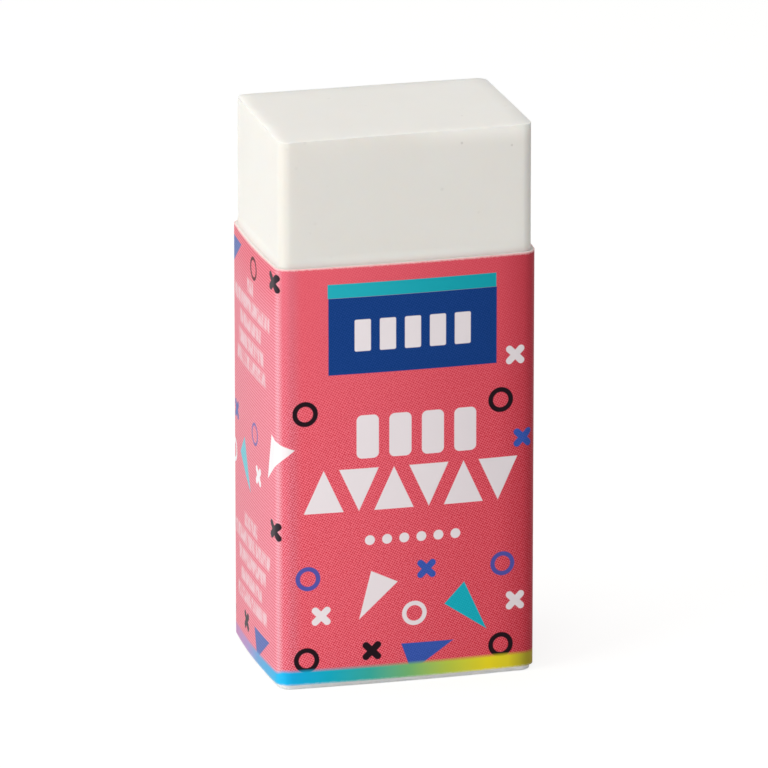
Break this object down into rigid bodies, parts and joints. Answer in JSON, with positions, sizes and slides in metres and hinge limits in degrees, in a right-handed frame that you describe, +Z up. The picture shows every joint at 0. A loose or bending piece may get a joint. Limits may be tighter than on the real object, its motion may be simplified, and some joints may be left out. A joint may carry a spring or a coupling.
{
  "type": "rubber eraser",
  "caption": "Small upright block eraser of soft white rubber in a printed card sleeve that slides along it.",
  "frame": {"origin": "middle of the block's foot, on the surface that the eraser stands on", "axes": "+Z up along the block's length, -Y out of the wide front with the main print, +X to the right of the front, the sleeve's glued lap on +Y"},
  "size_m": [0.0192, 0.014, 0.04],
  "materials": {
    "white_rubber": "matt, soft, very slightly see-through at the edges",
    "printed_card": "coral print on thin coated card, satin"
  },
  "bodies": {
    "block": {"rubber_block": "white_rubber"},
    "sleeve": {"card_sleeve": "printed_card"}
  },
  "joints": [
    {"name": "sleeve_slide", "type": "slide", "parent": "block", "child": "sleeve", "axis": [0, 0, 1], "range_m": [-0.0004, 0.0092]}
  ]
}
